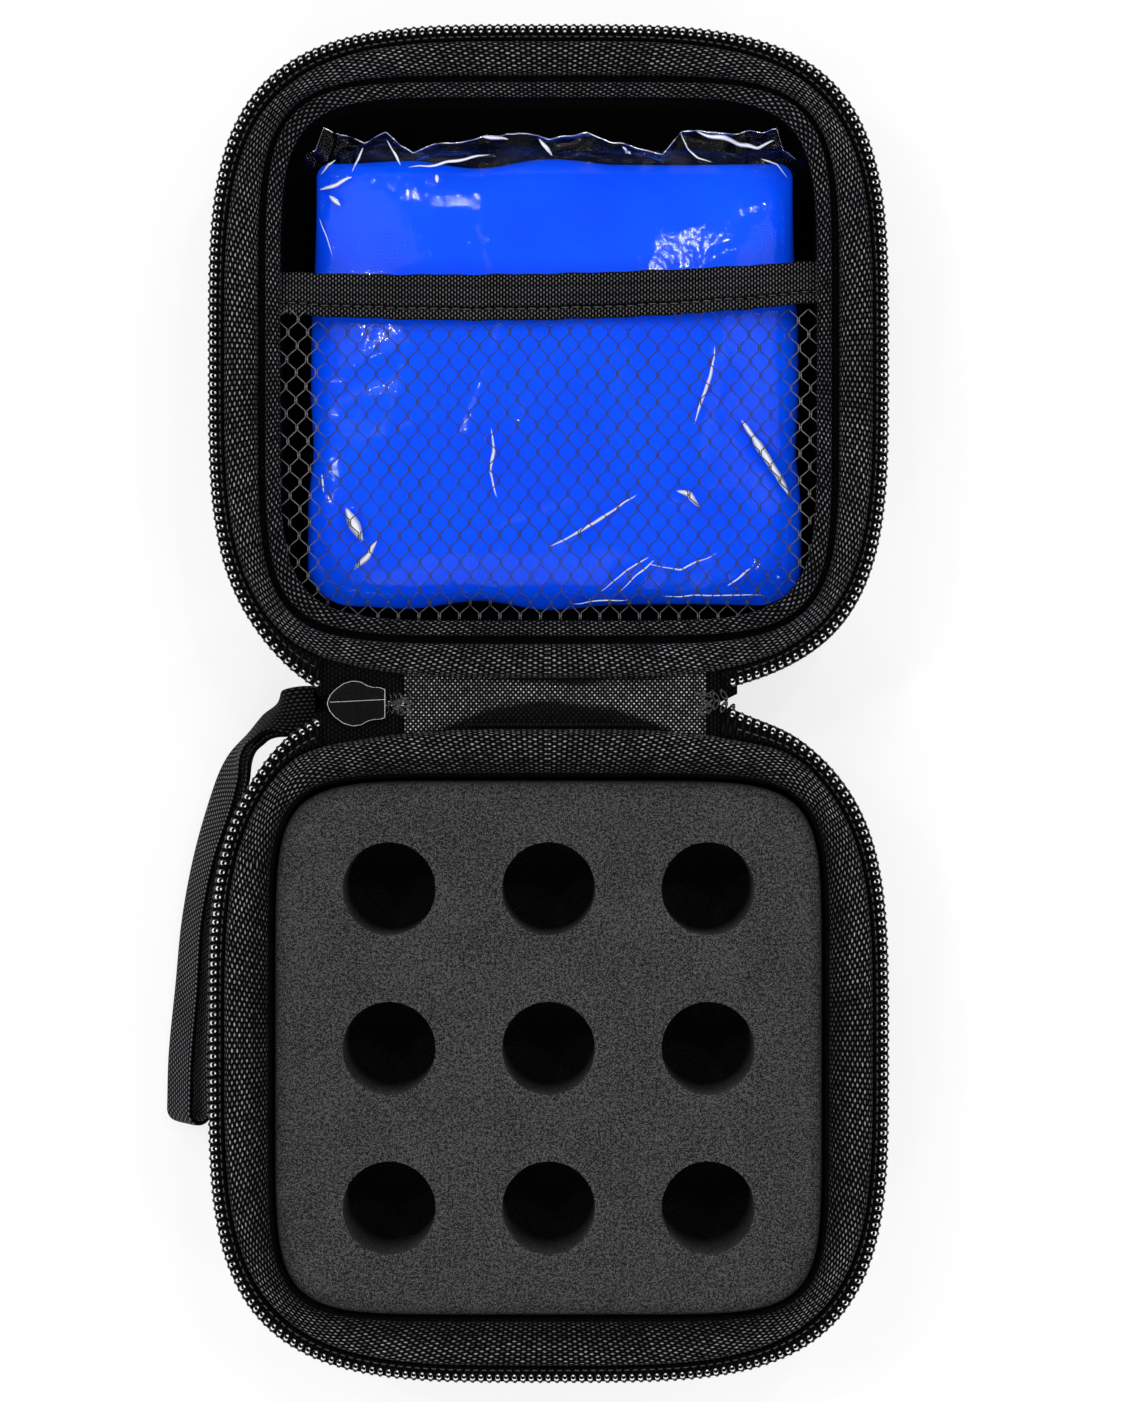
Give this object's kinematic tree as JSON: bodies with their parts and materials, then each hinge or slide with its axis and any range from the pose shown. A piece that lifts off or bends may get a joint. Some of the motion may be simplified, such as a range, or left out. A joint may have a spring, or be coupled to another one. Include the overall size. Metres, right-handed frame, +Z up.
{
  "type": "insulin cooling case",
  "caption": "Zip-up insulated travel case that opens flat: foam block with vial bores in the base, gel pack behind a net pocket in the lid, wrist strap.",
  "frame": {"origin": "middle of the base's flat underside, with the case lying open", "axes": "+Y from the base across the hinge to the lid, +Z up out of both hollows, +X to the right of someone who has the lid at the far side"},
  "size_m": [0.1322, 0.2478, 0.0322],
  "materials": {
    "case_fabric": "black woven polyester over moulded foam board",
    "rim_fabric": "black woven polyester drawn over a padded edge",
    "insulation_foam": "closed-cell insulating foam",
    "lining_cloth": "smooth black coated lining",
    "zip_tape_cloth": "black knitted zip tape",
    "zip_coil": "black nylon coil with small glints",
    "binding_tape": "black grosgrain binding",
    "grey_foam": "fine-celled dark grey foam",
    "net_yarn": "black knitted hexagonal net",
    "elastic_band": "black ribbed elastic",
    "blue_gel": "bright blue gel in a smooth pouch",
    "clear_film": "clear wrinkled film",
    "hinge_cloth": "black coated cloth with a dotted sheen",
    "slider_metal": "black enamelled die-cast slider with bare worn edges",
    "webbing": "black ribbed webbing"
  },
  "bodies": {
    "base": {"base_shell": "case_fabric", "base_insulation": "insulation_foam", "base_lining": "lining_cloth", "base_rim_roll": "rim_fabric", "base_zip_tape": "zip_tape_cloth", "base_zip_teeth": "zip_coil", "base_hinge_binding": "binding_tape", "foam_insert": "grey_foam", "foam_floor_pad": "grey_foam", "strap_anchor": "binding_tape"},
    "lid": {"lid_shell": "case_fabric", "lid_insulation": "insulation_foam", "lid_lining": "lining_cloth", "lid_rim_roll": "rim_fabric", "lid_zip_tape": "zip_tape_cloth", "lid_zip_teeth": "zip_coil", "lid_hinge_binding": "binding_tape", "lid_inner_lip": "binding_tape", "pocket_net": "net_yarn", "pocket_elastic": "elastic_band"},
    "hinge_strip": {"hinge_panel": "case_fabric", "hinge_lining": "hinge_cloth", "zip_chain_end": "zip_coil"},
    "zip_slider": {"slider_body": "slider_metal"},
    "zip_pull": {"slider_pull": "slider_metal"},
    "cold_pack": {"gel_pack": "blue_gel", "pack_sleeve": "clear_film"},
    "strap": {"wrist_strap": "webbing"}
  },
  "joints": [
    {"name": "strip_fold", "type": "hinge", "parent": "base", "child": "hinge_strip", "pos_m": [0, 0.0594, 0.029], "axis": [1, 0, 0], "range_deg": [0, 90]},
    {"name": "lid_fold", "type": "hinge", "parent": "hinge_strip", "child": "lid", "pos_m": [0, 0.0664, 0.029], "axis": [1, 0, 0], "range_deg": [0, 90]},
    {"name": "slider_travel", "type": "slide", "parent": "hinge_strip", "child": "zip_slider", "axis": [-1, 0, 0], "range_m": [0, 0.002]},
    {"name": "pull_swing", "type": "hinge", "parent": "zip_slider", "child": "zip_pull", "pos_m": [-0.0351, 0.0629, 0.02615], "axis": [0, -1, 0], "range_deg": [-30, 90]},
    {"name": "pack_slide", "type": "slide", "parent": "lid", "child": "cold_pack", "axis": [0, 1, 0], "range_m": [0, 0.003]},
    {"name": "strap_swing", "type": "hinge", "parent": "base", "child": "strap", "pos_m": [-0.043, 0.0619, 0.0249], "axis": [0, 0, 1], "range_deg": [-40, 0]}
  ],
  "couplings": [
    {"joint": "lid_fold", "follows": "strip_fold", "ratio": 1}
  ]
}
